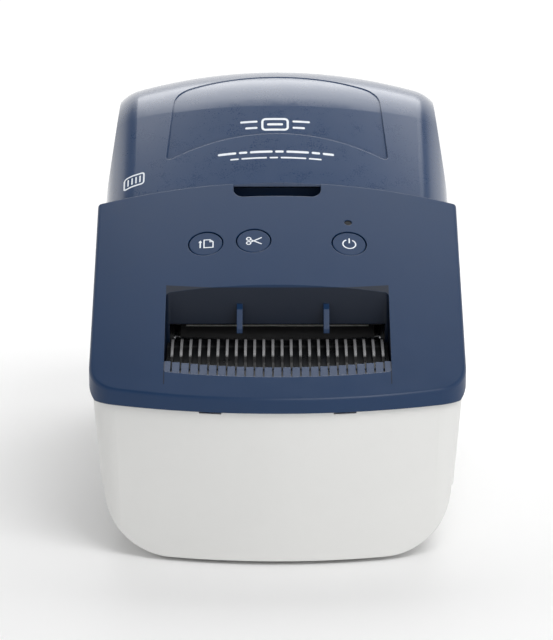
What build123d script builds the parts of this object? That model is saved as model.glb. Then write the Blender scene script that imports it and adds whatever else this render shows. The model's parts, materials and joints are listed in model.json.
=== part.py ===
from build123d import *
import math
import os

# Desktop label maker: a direct-thermal printer for rolls of labels.
# Millimetres, +Z up, front towards -Y, origin under the middle of the machine.

# ---- overall size ----
WIDTH = 125.0
DEPTH = 213.0
FOOT = 1.2                    # gap under the base
WALL = 2.5
BOW = 138.0                   # plan radius of the bowed front
FRONT_CORNER = 14.0
REAR_CORNER = 16.0

# ---- side profile ----
SLOPE = 29.6                  # degrees, front panel
LIP_TOP = 58.2
LIP_BOTTOM = 53.4
CROWN = 291.0                 # crown of the front panel, side to side
SEAM_Y = -13.6
SKIRT_START_Y = -90.0         # where the panel's side skirt begins to rise
DECK_Z = 96.8                 # parting line between base and lid
HINGE_Y = 103.8
HINGE_Z = 92.0

# ---- lid ----
LID_INSET = 1.2
LID_SLOPE = 33.5
LID_CROWN = 190.0
LID_EDGE = 14.0
LID_FLANK = 8.0               # degrees, inward lean of the lid's flanks
LID_START_Z = 110.8
LID_ARC_Y = 19.5              # where the straight slope turns into the hump
HUMP_R = 42.0
REAR_R = 90.0

# ---- base ----
BASE_INSET = 1.2
DRAFT = 4.8
BELLY_R = 22.0                # rounded lower side edges

# ---- label window ----
WINDOW_HALF = 37.5
WINDOW_TOP_Y = -58.9
WINDOW_BOTTOM_Y = -97.3
RIB_PITCH = 3.05

# ---- buttons ----
BUTTON_Y = -39.5
BUTTONS = {"feed_button": -24.5, "cut_button": -8.1, "power_button": 24.6}
BUTTON_R = 5.75
BUTTON_GAP = 0.35
BUTTON_TRAVEL = 0.6
BOARD_DEPTH = 8.0             # button board below the panel's ridge line
BOARD_T = 1.6
LED_X, LED_Y = 24.4, -30.2

# ---- print unit ----
PLATEN_Y, PLATEN_Z = -46.0, 63.4
PLATEN_R = 5.8
SHAFT_R = 2.5
PLATE_X = 38.0                # outer face of each side plate
PLATE_T = 1.5
GEAR_MODULE = 0.6
GEAR_T = 5.0
PLATEN_TEETH, IDLER_TEETH, PINION_TEETH = 36, 40, 14
BACKLASH = 0.1
IDLER_ANGLE = -116.0
PINION_ANGLE = -60.0

# ---- cutter ----
CRANK_Z = 50.0
CRANK_TEETH, CUTTER_TEETH = 30, 12
CRANK_MODULE = 0.7
CRANK_PIN_R = 4.5
CRANK_REST = -60.0

# ---- label roll ----
ROLL_Y, ROLL_Z = 38.0, 66.0
ROLL_R = 40.0
ROLL_HALF = 31.0
BAY_HALF = 37.0
BAY_R = 47.0
BAY_T = 2.0
FIT = 0.05                    # running clearance

os.makedirs("parts", exist_ok=True)

HALF = WIDTH / 2
FRONT_Y = -DEPTH / 2
REAR_Y = DEPTH / 2 + BASE_INSET    # the base's own rear wall then ends the depth
COS, SIN, TAN = (f(math.radians(SLOPE)) for f in (math.cos, math.sin, math.tan))


def save(part, name):
    """Label a finished piece and write it."""
    part.label = name
    export_step(part, f"parts/{name}.step")


def panel_height(y):
    """Height of the front panel's ridge line."""
    return LIP_TOP + (y - FRONT_Y) * TAN


def surface_plane(x, y, depth=0.0):
    """A plane lying on the panel's outer surface, its normal pointing out of it."""
    tilt = math.asin(x / CROWN)
    drop = CROWN * (1 - math.cos(tilt))
    along = (y - FRONT_Y - drop * SIN) / COS
    ridge = Vector(0, FRONT_Y, LIP_TOP) + Vector(0, COS, SIN) * along
    up = Vector(0, -SIN, COS)
    normal = up * math.cos(tilt) + Vector(1, 0, 0) * math.sin(tilt)
    sideways = Vector(1, 0, 0) * math.cos(tilt) - up * math.sin(tilt)
    origin = ridge - up * drop + Vector(x, 0, 0) - normal * depth
    return Plane(origin=origin, x_dir=sideways, z_dir=normal)


def plan(z, inset=0.0):
    """The outline seen from above, with the bowed front and rounded corners."""
    half = HALF - inset
    front = FRONT_Y + inset
    bow = BOW - inset
    side = front + bow - math.sqrt(bow**2 - half**2)
    rear = REAR_Y - inset
    with BuildSketch(Plane.XY.offset(z)) as outline:
        with BuildLine():
            ThreePointArc((-half, side), (0, front), (half, side))
            Polyline((half, side), (half, rear), (-half, rear), (-half, side))
        make_face()
        fillet(outline.vertices().group_by(Axis.Y)[-1], REAR_CORNER - inset)
        front_corners = outline.vertices().filter_by(lambda v: abs(v.Y - side) < 0.01)
        fillet(front_corners, FRONT_CORNER - inset)
    return outline.sketch


def sky(plane, crown, half, drop=0.0, edge=0.0, lean=0.0, depth=30.0):
    """The space outside a crowned top: above the crown arc and beside the edges."""
    reach = 95.0
    knee = half - lean
    sag = drop + crown - math.sqrt(crown**2 - knee**2)
    with BuildSketch(plane) as outside:
        with BuildLine():
            ThreePointArc((-knee, -sag), (0, -drop), (knee, -sag))
            Polyline(
                (knee, -sag),
                (half, -depth),
                (reach, -depth),
                (reach, reach),
                (-reach, reach),
                (-reach, -depth),
                (-half, -depth),
                (-knee, -sag),
            )
        make_face()
        if edge > 0:
            knees = outside.vertices().filter_by(lambda v: abs(abs(v.X) - knee) < 0.01)
            fillet(knees, edge)
    return outside.sketch


def box_between(low, high, mode=Mode.ADD):
    """A box between two corners, in the machine's own frame."""
    size = [b - a for a, b in zip(low, high)]
    middle = [(a + b) / 2 for a, b in zip(low, high)]
    with Locations(tuple(middle)):
        Box(*size, mode=mode)


def side_prism(points, x_low, x_high, mode=Mode.ADD):
    """A side profile in Y and Z, extruded between two X positions."""
    with BuildSketch(Plane.YZ.offset(x_low)) as profile:
        with BuildLine():
            Polyline(*points, close=True)
        make_face()
    extrude(profile.sketch, amount=x_high - x_low, mode=mode)


def rod(radius, start, direction, length, mode=Mode.ADD, hole=0.0):
    """A round bar or tube from a start point along a direction."""
    with BuildSketch(Plane(origin=start, z_dir=direction)) as section:
        Circle(radius)
        if hole > 0:
            Circle(hole, mode=Mode.SUBTRACT)
    extrude(section.sketch, amount=length, mode=mode)


# Lid ridge line, from ahead of the seam over the hump and down the back.
LID_TAN = math.tan(math.radians(LID_SLOPE))
RIDGE_LEAD = 40.0
with BuildLine(Plane.YZ) as ridge:
    lead = Line(
        (SEAM_Y - RIDGE_LEAD, LID_START_Z - RIDGE_LEAD * LID_TAN),
        (LID_ARC_Y, LID_START_Z + (LID_ARC_Y - SEAM_Y) * LID_TAN),
    )
    hump = JernArc(lead @ 1, lead % 1, HUMP_R, -(LID_SLOPE + 12))
    shoulder = JernArc(hump @ 1, hump % 1, REAR_R, -48)
    Line(shoulder @ 1, (shoulder @ 1) + (shoulder % 1) * 40)
RIDGE = ridge.wires()[0]
LID_PLANE = Plane(
    origin=(0, SEAM_Y - RIDGE_LEAD, LID_START_Z - RIDGE_LEAD * LID_TAN),
    x_dir=(-1, 0, 0),
    z_dir=(0, math.cos(math.radians(LID_SLOPE)), math.sin(math.radians(LID_SLOPE))),
)
SLOPE_PLANE = Plane(origin=(0, FRONT_Y, LIP_TOP), x_dir=(-1, 0, 0), z_dir=(0, COS, SIN))

# Side view of the parting line between base and covers.
SKIRT_RISE = DECK_Z - LIP_BOTTOM
SKIRT_TOP_Y = SKIRT_START_Y + SKIRT_RISE / TAN
PARTING = [(-120, LIP_BOTTOM), (SKIRT_START_Y, LIP_BOTTOM), (SKIRT_TOP_Y, DECK_Z)]


def panel_block(inset, drop):
    """Solid space of the front panel at a given inset from its outer surface."""
    with BuildPart() as block:
        extrude(plan(LIP_BOTTOM - 30, inset), amount=110)
        above = sky(SLOPE_PLANE, CROWN - drop, HALF - inset + 3, drop)
        extrude(above, amount=180, both=True, mode=Mode.SUBTRACT)
    return block.part


def lid_block(inset, drop, edge):
    """Solid space of the lid at a given inset from its outer surface."""
    with BuildPart() as block:
        extrude(plan(DECK_Z - 30, LID_INSET + inset), amount=110)
        above = sky(LID_PLANE, LID_CROWN - drop, HALF - LID_INSET - inset, drop, edge, lean=1.8)
        sweep(above, path=RIDGE, mode=Mode.SUBTRACT)
        # flanks that lean in above the parting line
        foot = HALF - LID_INSET - inset
        rise = 50.0
        head = foot - rise * math.tan(math.radians(LID_FLANK))
        low, high = DECK_Z - 40, DECK_Z + rise
        with BuildSketch(Plane.XZ.offset(-130)) as front_view:
            with BuildLine():
                Polyline(
                    (-foot, low), (foot, low), (foot, DECK_Z), (head, high), (-head, high), (-foot, DECK_Z), (-foot, low)
                )
            make_face()
        extrude(front_view.sketch, amount=260, mode=Mode.INTERSECT)
    return block.part


def base_block(inset, floor):
    """Solid space of the base at a given inset, open above the parting line."""
    with BuildPart() as block:
        outline = plan(LIP_BOTTOM, BASE_INSET + inset)
        extrude(outline, amount=LIP_BOTTOM - floor, dir=(0, 0, -1), taper=DRAFT)
        extrude(outline, amount=60)
        half = HALF - BASE_INSET
        belly = BELLY_R - inset
        with BuildSketch(Plane.XZ.offset(-130)) as front_view:
            with Locations((0, floor + 75)):
                Rectangle(2 * (half - 3.4 - inset), 150)
            fillet(front_view.vertices().group_by(Axis.Z)[0], belly)
            with Locations((0, floor + 75 + belly)):
                Rectangle(2 * half + 10, 150)
        extrude(front_view.sketch, amount=260, mode=Mode.INTERSECT)
    return block.part


def window_sketch(z, grow=0.0, top_y=WINDOW_TOP_Y, bottom_y=WINDOW_BOTTOM_Y):
    """Outline of the label window: straight top, bowed lower edge."""
    half = WINDOW_HALF + grow
    bow = BOW - (bottom_y - FRONT_Y)
    top = top_y + grow
    bottom = bottom_y - grow
    side = bottom + bow - math.sqrt(bow**2 - half**2)
    with BuildSketch(Plane.XY.offset(z)) as window:
        with BuildLine():
            ThreePointArc((-half, side), (0, bottom), (half, side))
            Polyline((half, side), (half, top), (-half, top), (-half, side))
        make_face()
        fillet(window.vertices(), 1.5 + grow)
    return window.sketch


def involute_gear(teeth, module, plane, thickness, bore, phase=0.0, mode=Mode.ADD):
    """A spur gear with involute flanks, thinned a little for backlash."""
    pitch_r = teeth * module / 2
    base_r = pitch_r * math.cos(math.radians(20))
    tip_r = pitch_r + 0.9 * module
    root_r = pitch_r - 1.2 * module
    spread = math.acos(base_r / pitch_r)
    half_angle = (math.pi / 2 - 0.14) / teeth + math.tan(spread) - spread
    start_r = max(base_r, root_r)
    flank = []
    for step in range(4):
        radius = start_r + (tip_r - start_r) * step / 3
        roll = math.acos(min(1.0, base_r / radius))
        flank.append((radius, half_angle - (math.tan(roll) - roll)))
    outline = []
    for tooth in range(teeth):
        centre = math.radians(phase) + 2 * math.pi * tooth / teeth
        outline.append((root_r, centre - half_angle))
        outline += [(radius, centre - angle) for radius, angle in flank]
        outline += [(radius, centre + angle) for radius, angle in reversed(flank)]
        outline.append((root_r, centre + half_angle))
    points = [(r * math.cos(a), r * math.sin(a)) for r, a in outline]
    with BuildSketch(plane) as face:
        with BuildLine():
            Polyline(*points, close=True)
        make_face()
        Circle(bore, mode=Mode.SUBTRACT)
    extrude(face.sketch, amount=thickness, mode=mode)


def screw(plane, head_r=2.6, head_h=1.8, shank_r=1.3, length=8.0):
    """A pan-head screw with a cross recess; the head sits on the plane."""
    with BuildSketch(plane) as head:
        Circle(head_r)
    extrude(head.sketch, amount=head_h)
    with BuildSketch(plane) as shank:
        Circle(shank_r)
    extrude(shank.sketch, amount=-length)
    with BuildSketch(plane.offset(head_h)) as recess:
        Rectangle(head_r * 1.2, head_r * 0.3)
        Rectangle(head_r * 0.3, head_r * 1.2)
    extrude(recess.sketch, amount=-head_h / 2, mode=Mode.SUBTRACT)


# ======================= casing =======================
PLATE_TOP = FOOT + 2.0                    # top of the bottom cover
SEAM_GAP = 0.3
BARREL_R = 2.5
PIN_R = 1.0
KNUCKLES = (-52.5, -12.0, 7.0, 47.5)      # left ends of the base's hinge knuckles
KNUCKLE_L = 5.0
INLET_X, INLET_Z = -30.0, 24.0
USB_X, USB_Z = 6.0, 13.5
SCREW_POSTS = [(x, y) for x in (-33, 33) for y in (-84, 84)]
SWITCH_X, SWITCH_Y = 50.0, 20.0
LATCH_X = 52.0
CATCH_X = 22.0


def rear_face(z):
    """Y of the base's rear wall, outside, at a height below the parting line."""
    return REAR_Y - BASE_INSET - (LIP_BOTTOM - z) * math.tan(math.radians(DRAFT))


with BuildPart() as base_shell:
    add(base_block(0, FOOT))
    add(base_block(WALL, FOOT + WALL), mode=Mode.SUBTRACT)
    # everything above the parting line belongs to the covers
    rear_step = REAR_Y - 12
    side_prism(
        PARTING + [(rear_step, DECK_Z), (rear_step, HINGE_Z - 0.3), (140, HINGE_Z - 0.3), (140, 200), (-120, 200)],
        -80, 80, mode=Mode.SUBTRACT,
    )
    # two slim release slots under the panel's front lip
    for x in (-CATCH_X, CATCH_X):
        box_between((x - 3.65, -120, LIP_BOTTOM - 0.8), (x + 3.65, -95, LIP_BOTTOM + 1), mode=Mode.SUBTRACT)
    # floor opening, closed by the bottom cover
    with BuildSketch(Plane.XY) as opening:
        RectangleRounded(77, 180.6, 8)
    extrude(opening.sketch, amount=8, mode=Mode.SUBTRACT)
    # relief behind the hinge barrels
    box_between((-55, rear_step, HINGE_Z - 3.3), (55, 130, HINGE_Z + 9), mode=Mode.SUBTRACT)
    # hinge knuckles standing on the rear wall, between the lid's barrels
    for x in KNUCKLES:
        rod(BARREL_R, (x, HINGE_Y, HINGE_Z), (1, 0, 0), KNUCKLE_L)
        box_between((x, HINGE_Y - 2.0, HINGE_Z - 7), (x + KNUCKLE_L, HINGE_Y + 1.8, HINGE_Z))
    rod(PIN_R + 0.02, (-60, HINGE_Y, HINGE_Z), (1, 0, 0), 120, mode=Mode.SUBTRACT)
    # sockets through the rear wall
    box_between((INLET_X - 11.3, 90, INLET_Z - 8.3), (INLET_X + 11.3, 120, INLET_Z + 8.3), mode=Mode.SUBTRACT)
    box_between((USB_X - 6.2, 90, USB_Z - 6.1), (USB_X + 6.2, 120, USB_Z + 5.7), mode=Mode.SUBTRACT)
save(base_shell.part, "base_shell")

with BuildPart() as bottom_cover:
    with BuildSketch(Plane.XY.offset(FOOT)) as plate:
        RectangleRounded(76.4, 180, 7.7)
    extrude(plate.sketch, amount=PLATE_TOP - FOOT)
    # rim that laps over the inside of the base's floor
    with BuildSketch(Plane.XY.offset(FOOT + WALL + 0.1)) as rim:
        RectangleRounded(76, 185, 7)
        RectangleRounded(70, 174, 6, mode=Mode.SUBTRACT)
    extrude(rim.sketch, amount=0.9)
    with BuildSketch(Plane.XY.offset(PLATE_TOP)) as wall:
        RectangleRounded(76.4, 180, 7.7)
        RectangleRounded(73, 176, 6, mode=Mode.SUBTRACT)
    extrude(wall.sketch, amount=WALL - 2.0 + 0.1 + 0.9)
    # posts for the boards and the chassis
    for x in (-30, 30):
        for y in (-62, -32):
            rod(3.0, (x, y, PLATE_TOP), (0, 0, 1), 1.6)
        for y in (8, 78):
            rod(3.0, (x, y, PLATE_TOP), (0, 0, 1), 2.8)
    for x in (-30, 30):
        rod(3.0, (x, -74, PLATE_TOP), (0, 0, 1), 2.8)
    # seats for the feet, recess for the rating plate, counterbores for the screws
    with Locations(*[(x, y, FOOT) for x in (-28, 28) for y in (-72, 74)]):
        Cylinder(6.2, 2.0, mode=Mode.SUBTRACT)
    box_between((-20.2, -15.2, 0), (20.2, 15.2, FOOT + 0.4), mode=Mode.SUBTRACT)
    for x, y in SCREW_POSTS:
        rod(1.6, (x, y, 0), (0, 0, 1), 10, mode=Mode.SUBTRACT)
        rod(3.0, (x, y, 0), (0, 0, 1), FOOT + 1.0, mode=Mode.SUBTRACT)
save(bottom_cover.part, "bottom_cover")

with BuildPart() as rubber_feet:
    for x in (-28, 28):
        for y in (-72, 74):
            rod(6.0, (x, y, 0), (0, 0, 1), FOOT + 1.0)
    fillet(rubber_feet.edges().group_by(Axis.Z)[0], 0.5)
save(rubber_feet.part, "rubber_feet")

with BuildPart() as rating_plate:
    box_between((-20, -15, FOOT + 0.15), (20, 15, FOOT + 0.4))
    fillet(rating_plate.edges().filter_by(Axis.Z), 2)
save(rating_plate.part, "rating_plate")

with BuildPart() as case_screws:
    for x, y in SCREW_POSTS:
        screw(Plane(origin=(x, y, FOOT + 1.0), z_dir=(0, 0, -1)), head_h=0.9, length=3.0)
save(case_screws.part, "case_screws")

with BuildPart() as hinge_pins:
    for x in (KNUCKLES[0], KNUCKLES[2]):
        rod(PIN_R, (x + 0.2, HINGE_Y, HINGE_Z), (1, 0, 0), 45.1)
save(hinge_pins.part, "hinge_pins")

# ---- front panel ----
NOTCH_HALF = 15.2
NOTCH_Y = -19.6
NOTCH_FLOOR = 101.0
POCKET_REAR = -5.6
POCKET_T = 1.6
POCKET_TOP = 107.6
HOOD_T = 1.8
HOOD_LOW = 57.5
SLOT_TOP = 71.7                # lower edge of the wall behind the window
FINS = (-12.7, 16.5)
LIP_ROUND = 1.4

with BuildPart() as panel_form:
    add(panel_block(0, 0))
    box_between((-80, SEAM_Y, 0), (80, 140, 220), mode=Mode.SUBTRACT)
    rims = panel_form.edges().filter_by(lambda e: e.center().Z > 55 and SEAM_Y - e.center().Y > 0.5)
    fillet(rims, LIP_ROUND)
PANEL_OUTER = panel_form.part

with BuildPart() as hood:
    extrude(window_sketch(HOOD_LOW, HOOD_T), amount=40)
    extrude(window_sketch(HOOD_LOW), amount=40, mode=Mode.SUBTRACT)
    box_between((-36.4, WINDOW_TOP_Y - 0.5, 50), (36.4, WINDOW_TOP_Y + 5, SLOT_TOP), mode=Mode.SUBTRACT)
    # guide fins that hang from the rear wall and turn the label down
    wall_y = WINDOW_TOP_Y + 0.3
    for x in FINS:
        fin = [(wall_y, 79), (-62.5, 77.6), (-66, 71.6), (-66.2, 70.2), (-64, 69.6), (wall_y, SLOT_TOP + 0.2)]
        side_prism(fin, x - 0.95, x + 0.95)
    # toothed lower edge
    for index in range(-12, 13):
        x = index * RIB_PITCH
        root_bow = BOW - (WINDOW_BOTTOM_Y - FRONT_Y)
        root_y = WINDOW_BOTTOM_Y + root_bow - math.sqrt(root_bow**2 - x**2)
        root_z = panel_height(root_y) - x**2 / (2 * CROWN)
        tooth = [(root_y - 1, root_z - 0.9), (root_y + 5.6, root_z + 1.7), (root_y + 5.9, root_z + 1.2),
                 (root_y + 5.0, root_z - 0.4), (root_y - 1, root_z - 2.6)]
        if abs(x) < WINDOW_HALF - 0.5:
            side_prism(tooth, x - 1.25, x + 1.25)
    # walls of the finger notch
    box_between((-NOTCH_HALF - 1.6, NOTCH_Y - 1.6, NOTCH_FLOOR - 1.6), (NOTCH_HALF + 1.6, SEAM_Y, 125))
    add(PANEL_OUTER, mode=Mode.INTERSECT)

with BuildPart() as front_panel:
    add(PANEL_OUTER)
    add(panel_block(WALL, WALL), mode=Mode.SUBTRACT)
    side_prism(
        [(-120, 0)] + PARTING + [(140, DECK_Z), (140, 0)], -80, 80, mode=Mode.SUBTRACT
    )
    extrude(window_sketch(HOOD_LOW, HOOD_T / 2), amount=60, mode=Mode.SUBTRACT)
    add(hood.part)
    # finger notch
    with BuildSketch(Plane.XY.offset(NOTCH_FLOOR)) as notch:
        with Locations((0, SEAM_Y)):
            RectangleRounded(2 * NOTCH_HALF, 2 * (SEAM_Y - NOTCH_Y), 3.5)
    extrude(notch.sketch, amount=30, mode=Mode.SUBTRACT)
    # pocket that carries the notch on under the lid
    pocket_low = (-NOTCH_HALF - POCKET_T, SEAM_Y - 1, NOTCH_FLOOR - POCKET_T)
    box_between(pocket_low, (NOTCH_HALF + POCKET_T, POCKET_REAR + POCKET_T, POCKET_TOP))
    box_between((-NOTCH_HALF, NOTCH_Y + 4, NOTCH_FLOOR), (NOTCH_HALF, POCKET_REAR, 130), mode=Mode.SUBTRACT)
    # round holes for the buttons and the status light
    for x in BUTTONS.values():
        with BuildSketch(surface_plane(x, BUTTON_Y, -2)) as hole:
            Circle(BUTTON_R + BUTTON_GAP)
        extrude(hole.sketch, amount=-8, mode=Mode.SUBTRACT)
    with BuildSketch(surface_plane(LED_X, LED_Y, -2)) as hole:
        Circle(1.35)
    extrude(hole.sketch, amount=-8, mode=Mode.SUBTRACT)
    # posts that carry the button board
    for x in (-16.0, 8.0):
        foot = surface_plane(0, -31, BOARD_DEPTH)
        with BuildSketch(Plane(origin=foot.origin + Vector(x, 0, 0), z_dir=foot.z_dir)) as post:
            Circle(2.4)
            Circle(0.9, mode=Mode.SUBTRACT)
        extrude(post.sketch, amount=BOARD_DEPTH - 1.5)
    # small catches under the lip
    for x in (-CATCH_X, CATCH_X):
        box_between((x - 3.0, FRONT_Y + 6.2, LIP_BOTTOM - 3), (x + 3.0, FRONT_Y + 8.2, LIP_BOTTOM + 6))
save(front_panel.part, "front_panel")

# ---- lid ----
LID_OUTER = lid_block(0, 0, LID_EDGE)
LID_EDGE_T = 1.5
RECESS_TOP_Y = 38.1
RECESS_TILT = 0.75             # degrees
RECESS_STEP = 0.25             # depth of the field at its upper edge

with BuildPart() as recess:
    # a shallow field on the lid, deepest at its curved lower edge
    with BuildSketch(Plane.XY.offset(105)) as field:
        with BuildLine():
            ThreePointArc((-39.3, 1.0), (0, 7.2), (39.3, 1.0))
            Line((39.3, 1.0), (36.4, 31.5))
            ThreePointArc((36.4, 31.5), (0, RECESS_TOP_Y), (-36.4, 31.5))
            Line((-36.4, 31.5), (-39.3, 1.0))
        make_face()
        fillet(field.vertices().group_by(Axis.Y)[0], 1.5)
        fillet(field.vertices().group_by(Axis.Y)[-1], 9.0)
    extrude(field.sketch, amount=60)
    pivot = Axis((0, RECESS_TOP_Y, 139.5), (1, 0, 0))
    lowered = Pos(0, 0, -RECESS_STEP) * LID_OUTER.rotate(pivot, RECESS_TILT)
    add(lowered, mode=Mode.SUBTRACT)

with BuildPart() as lid_lip:
    # stiffening lip along the front edge
    add(LID_OUTER)
    front = SEAM_Y + SEAM_GAP
    box_between((-80, front, DECK_Z + SEAM_GAP), (80, front + 2.0, 140), mode=Mode.INTERSECT)
    add(lid_block(5.0, 5.0, LID_EDGE - 5.0), mode=Mode.SUBTRACT)

with BuildPart() as lid:
    add(LID_OUTER)
    add(lid_block(WALL, WALL, LID_EDGE - WALL), mode=Mode.SUBTRACT)
    front = SEAM_Y + SEAM_GAP
    low = DECK_Z + SEAM_GAP
    tab = REAR_Y - 11.7
    side_prism(
        [(-120, 0), (-120, 220), (front, 220), (front, low), (tab, low), (tab, HINGE_Z), (140, HINGE_Z), (140, 0)],
        -80, 80, mode=Mode.SUBTRACT,
    )
    add(lid_lip.part)
    add(recess.part, mode=Mode.SUBTRACT)
    # thinned front edge over the finger pocket
    edge_low = LID_START_Z - LID_EDGE_T
    back = POCKET_REAR + 3
    side_prism(
        [(SEAM_Y - 1, 90), (SEAM_Y - 1, edge_low - LID_TAN), (back, edge_low + (back - SEAM_Y) * LID_TAN), (back, 90)],
        -NOTCH_HALF - 2.1, NOTCH_HALF + 2.1, mode=Mode.SUBTRACT,
    )
    # room for the base's knuckles, then the barrels between them
    for x in KNUCKLES:
        box_between((x - 0.3, HINGE_Y - 3, HINGE_Z - 4), (x + KNUCKLE_L + 0.3, 120, HINGE_Z + 3), mode=Mode.SUBTRACT)
    for x in (KNUCKLES[0], KNUCKLES[2]):
        rod(BARREL_R, (x + KNUCKLE_L + 0.3, HINGE_Y, HINGE_Z), (1, 0, 0), 35.5 - 0.6)
        rod(PIN_R + FIT, (x - 1, HINGE_Y, HINGE_Z), (1, 0, 0), 48, mode=Mode.SUBTRACT)
    # latch tongues behind the front corners
    for side in (-1, 1):
        x = side * LATCH_X
        box_between((x - 2, SEAM_Y + 2.2, DECK_Z - 7), (x + 2, SEAM_Y + 4.0, DECK_Z + 7))
        box_between((x - 2, SEAM_Y + 4.0, DECK_Z - 7), (x + 2, SEAM_Y + 5.2, DECK_Z - 4.6))
save(lid.part, "lid")

# ---- roll bay: tub with a deck around it ----
DECK_LOW, DECK_TOP = 92.8, 94.8
BAY_FRONT_TOP = 78.0
bay_front = ROLL_Y - BAY_R
bay_rear = ROLL_Y + BAY_R

with BuildPart() as roll_bay:
    with BuildSketch(Plane.YZ.offset(-BAY_HALF - BAY_T)) as tub:
        with Locations((ROLL_Y, ROLL_Z)):
            Circle(BAY_R + BAY_T)
        with Locations((ROLL_Y, (ROLL_Z + DECK_TOP) / 2)):
            Rectangle(2 * (BAY_R + BAY_T), DECK_TOP - ROLL_Z)
        with Locations((ROLL_Y, DECK_TOP + 30)):
            Rectangle(150, 60, mode=Mode.SUBTRACT)
    extrude(tub.sketch, amount=2 * (BAY_HALF + BAY_T))
    box_between((-58.4, bay_front - BAY_T, DECK_LOW), (58.4, 89, DECK_TOP))
    box_between((-45, 88, DECK_LOW), (45, HINGE_Y - 6, DECK_TOP))
    with BuildSketch(Plane.YZ.offset(-BAY_HALF)) as hollow:
        with Locations((ROLL_Y, ROLL_Z)):
            Circle(BAY_R)
        with Locations((ROLL_Y, ROLL_Z + 25)):
            Rectangle(2 * BAY_R, 50)
    extrude(hollow.sketch, amount=2 * BAY_HALF, mode=Mode.SUBTRACT)
    # the web leaves over the lowered front wall
    box_between((-BAY_HALF, bay_front - BAY_T - 1, BAY_FRONT_TOP), (BAY_HALF, bay_front + 0.1, 100), mode=Mode.SUBTRACT)
    # guide slots for the spool arms
    box_between((-40, ROLL_Y - 5.3, ROLL_Z - 5), (40, ROLL_Y + 5.3, 100), mode=Mode.SUBTRACT)
    # slots for the latch tongues and the lid switch
    for side in (-1, 1):
        x = side * LATCH_X
        box_between((x - 2.6, SEAM_Y - 1, DECK_LOW - 1), (x + 2.6, SEAM_Y + 5.6, 100), mode=Mode.SUBTRACT)
    box_between((SWITCH_X - 1.8, SWITCH_Y - 5, 90), (SWITCH_X + 1.8, SWITCH_Y + 5, 100), mode=Mode.SUBTRACT)
save(roll_bay.part, "roll_bay")

# ======================= controls =======================
board_plane = surface_plane(0, -33.0, BOARD_DEPTH)
SWITCH_H = 2.0
PLUNGER_H = 0.5

for name, x in BUTTONS.items():
    with BuildPart() as button:
        with BuildSketch(surface_plane(x, BUTTON_Y, 0.15)) as cap:
            Circle(BUTTON_R)
        extrude(cap.sketch, amount=-2.3)
        fillet(button.edges().filter_by(GeomType.CIRCLE).sort_by(Axis.Z)[-1], 0.4)
        # flange that stops the button from falling out, then the stem
        with BuildSketch(surface_plane(x, BUTTON_Y, 2.45 + 0.35)) as flange:
            Circle(BUTTON_R + 1.3)
        extrude(flange.sketch, amount=-0.8)
        with BuildSketch(surface_plane(x, BUTTON_Y, 2.3)) as stem:
            Circle(1.6)
        drop = x**2 / (2 * CROWN)
        stem_end = BOARD_DEPTH - SWITCH_H - PLUNGER_H - BUTTON_TRAVEL - 0.15 - drop
        extrude(stem.sketch, amount=-(stem_end - 2.3))
    save(button.part, name)

with BuildPart() as button_board:
    with BuildSketch(board_plane) as outline:
        RectangleRounded(66, 20, 2)
    extrude(outline.sketch, amount=-BOARD_T)
    for x in (-16.0, 8.0):
        foot = surface_plane(0, -31, BOARD_DEPTH - 1)
        with BuildSketch(Plane(origin=foot.origin + Vector(x, 0, 0), z_dir=foot.z_dir)) as hole:
            Circle(1.3)
        extrude(hole.sketch, amount=-5, mode=Mode.SUBTRACT)
save(button_board.part, "button_board")

with BuildPart() as button_board_screws:
    for x in (-16.0, 8.0):
        foot = surface_plane(0, -31, BOARD_DEPTH + BOARD_T)
        screw(Plane(origin=foot.origin + Vector(x, 0, 0), z_dir=-foot.z_dir), 2.2, 1.2, 0.88, 5.0)
save(button_board_screws.part, "button_board_screws")

with BuildPart() as tact_switches:
    for x in BUTTONS.values():
        top = surface_plane(x, BUTTON_Y, 0)
        reach = BOARD_DEPTH - x**2 / (2 * CROWN)
        centre = top.origin - top.z_dir * reach
        local = board_plane.to_local_coords(centre)
        with BuildSketch(board_plane) as body:
            with Locations((local.X, local.Y)):
                Rectangle(6, 6)
        extrude(body.sketch, amount=SWITCH_H)
        with BuildSketch(board_plane) as plunger:
            with Locations((local.X, local.Y)):
                Circle(1.7)
        extrude(plunger.sketch, amount=SWITCH_H + PLUNGER_H)
save(tact_switches.part, "tact_switches")

with BuildPart() as light_pipe:
    with BuildSketch(surface_plane(LED_X, LED_Y, 0.3)) as lens:
        Circle(1.3)
    extrude(lens.sketch, amount=-6.2)
save(light_pipe.part, "light_pipe")

# ======================= paper path =======================
SPOOL_HUB_R = 11.85
CORE_R = 13.0
FLANGE_X = ROLL_HALF + 0.4
STRIP_T = 0.15
STRIP_HALF = 31.0
STRIP_Z = 69.65
STRIP_BEND = (-14.0, 80.0)

for side, name in ((-1, "left_spool"), (1, "right_spool")):
    with BuildPart() as spool:
        out = (side, 0, 0)
        rod(34.0, (side * FLANGE_X, ROLL_Y, ROLL_Z), out, 1.5)
        rod(SPOOL_HUB_R, (side * 19.0, ROLL_Y, ROLL_Z), out, FLANGE_X - 19.0 + 0.1)
        rod(9.5, (side * 18.0, ROLL_Y, ROLL_Z), out, 12.0, mode=Mode.SUBTRACT)
        # arm that drops into the tub's guide slot
        near, far = sorted((side * (FLANGE_X + 1.4), side * (BAY_HALF + BAY_T + 0.6)))
        box_between((near, ROLL_Y - 5, ROLL_Z - 4.7), (far, ROLL_Y + 5, ROLL_Z + 10))
        # finger windows in the flange
        for angle in range(45, 360, 90):
            window_y = ROLL_Y + 23 * math.cos(math.radians(angle))
            window_z = ROLL_Z + 23 * math.sin(math.radians(angle))
            rod(5.0, (side * (FLANGE_X - 1), window_y, window_z), out, 4, mode=Mode.SUBTRACT)
    save(spool.part, name)

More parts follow.
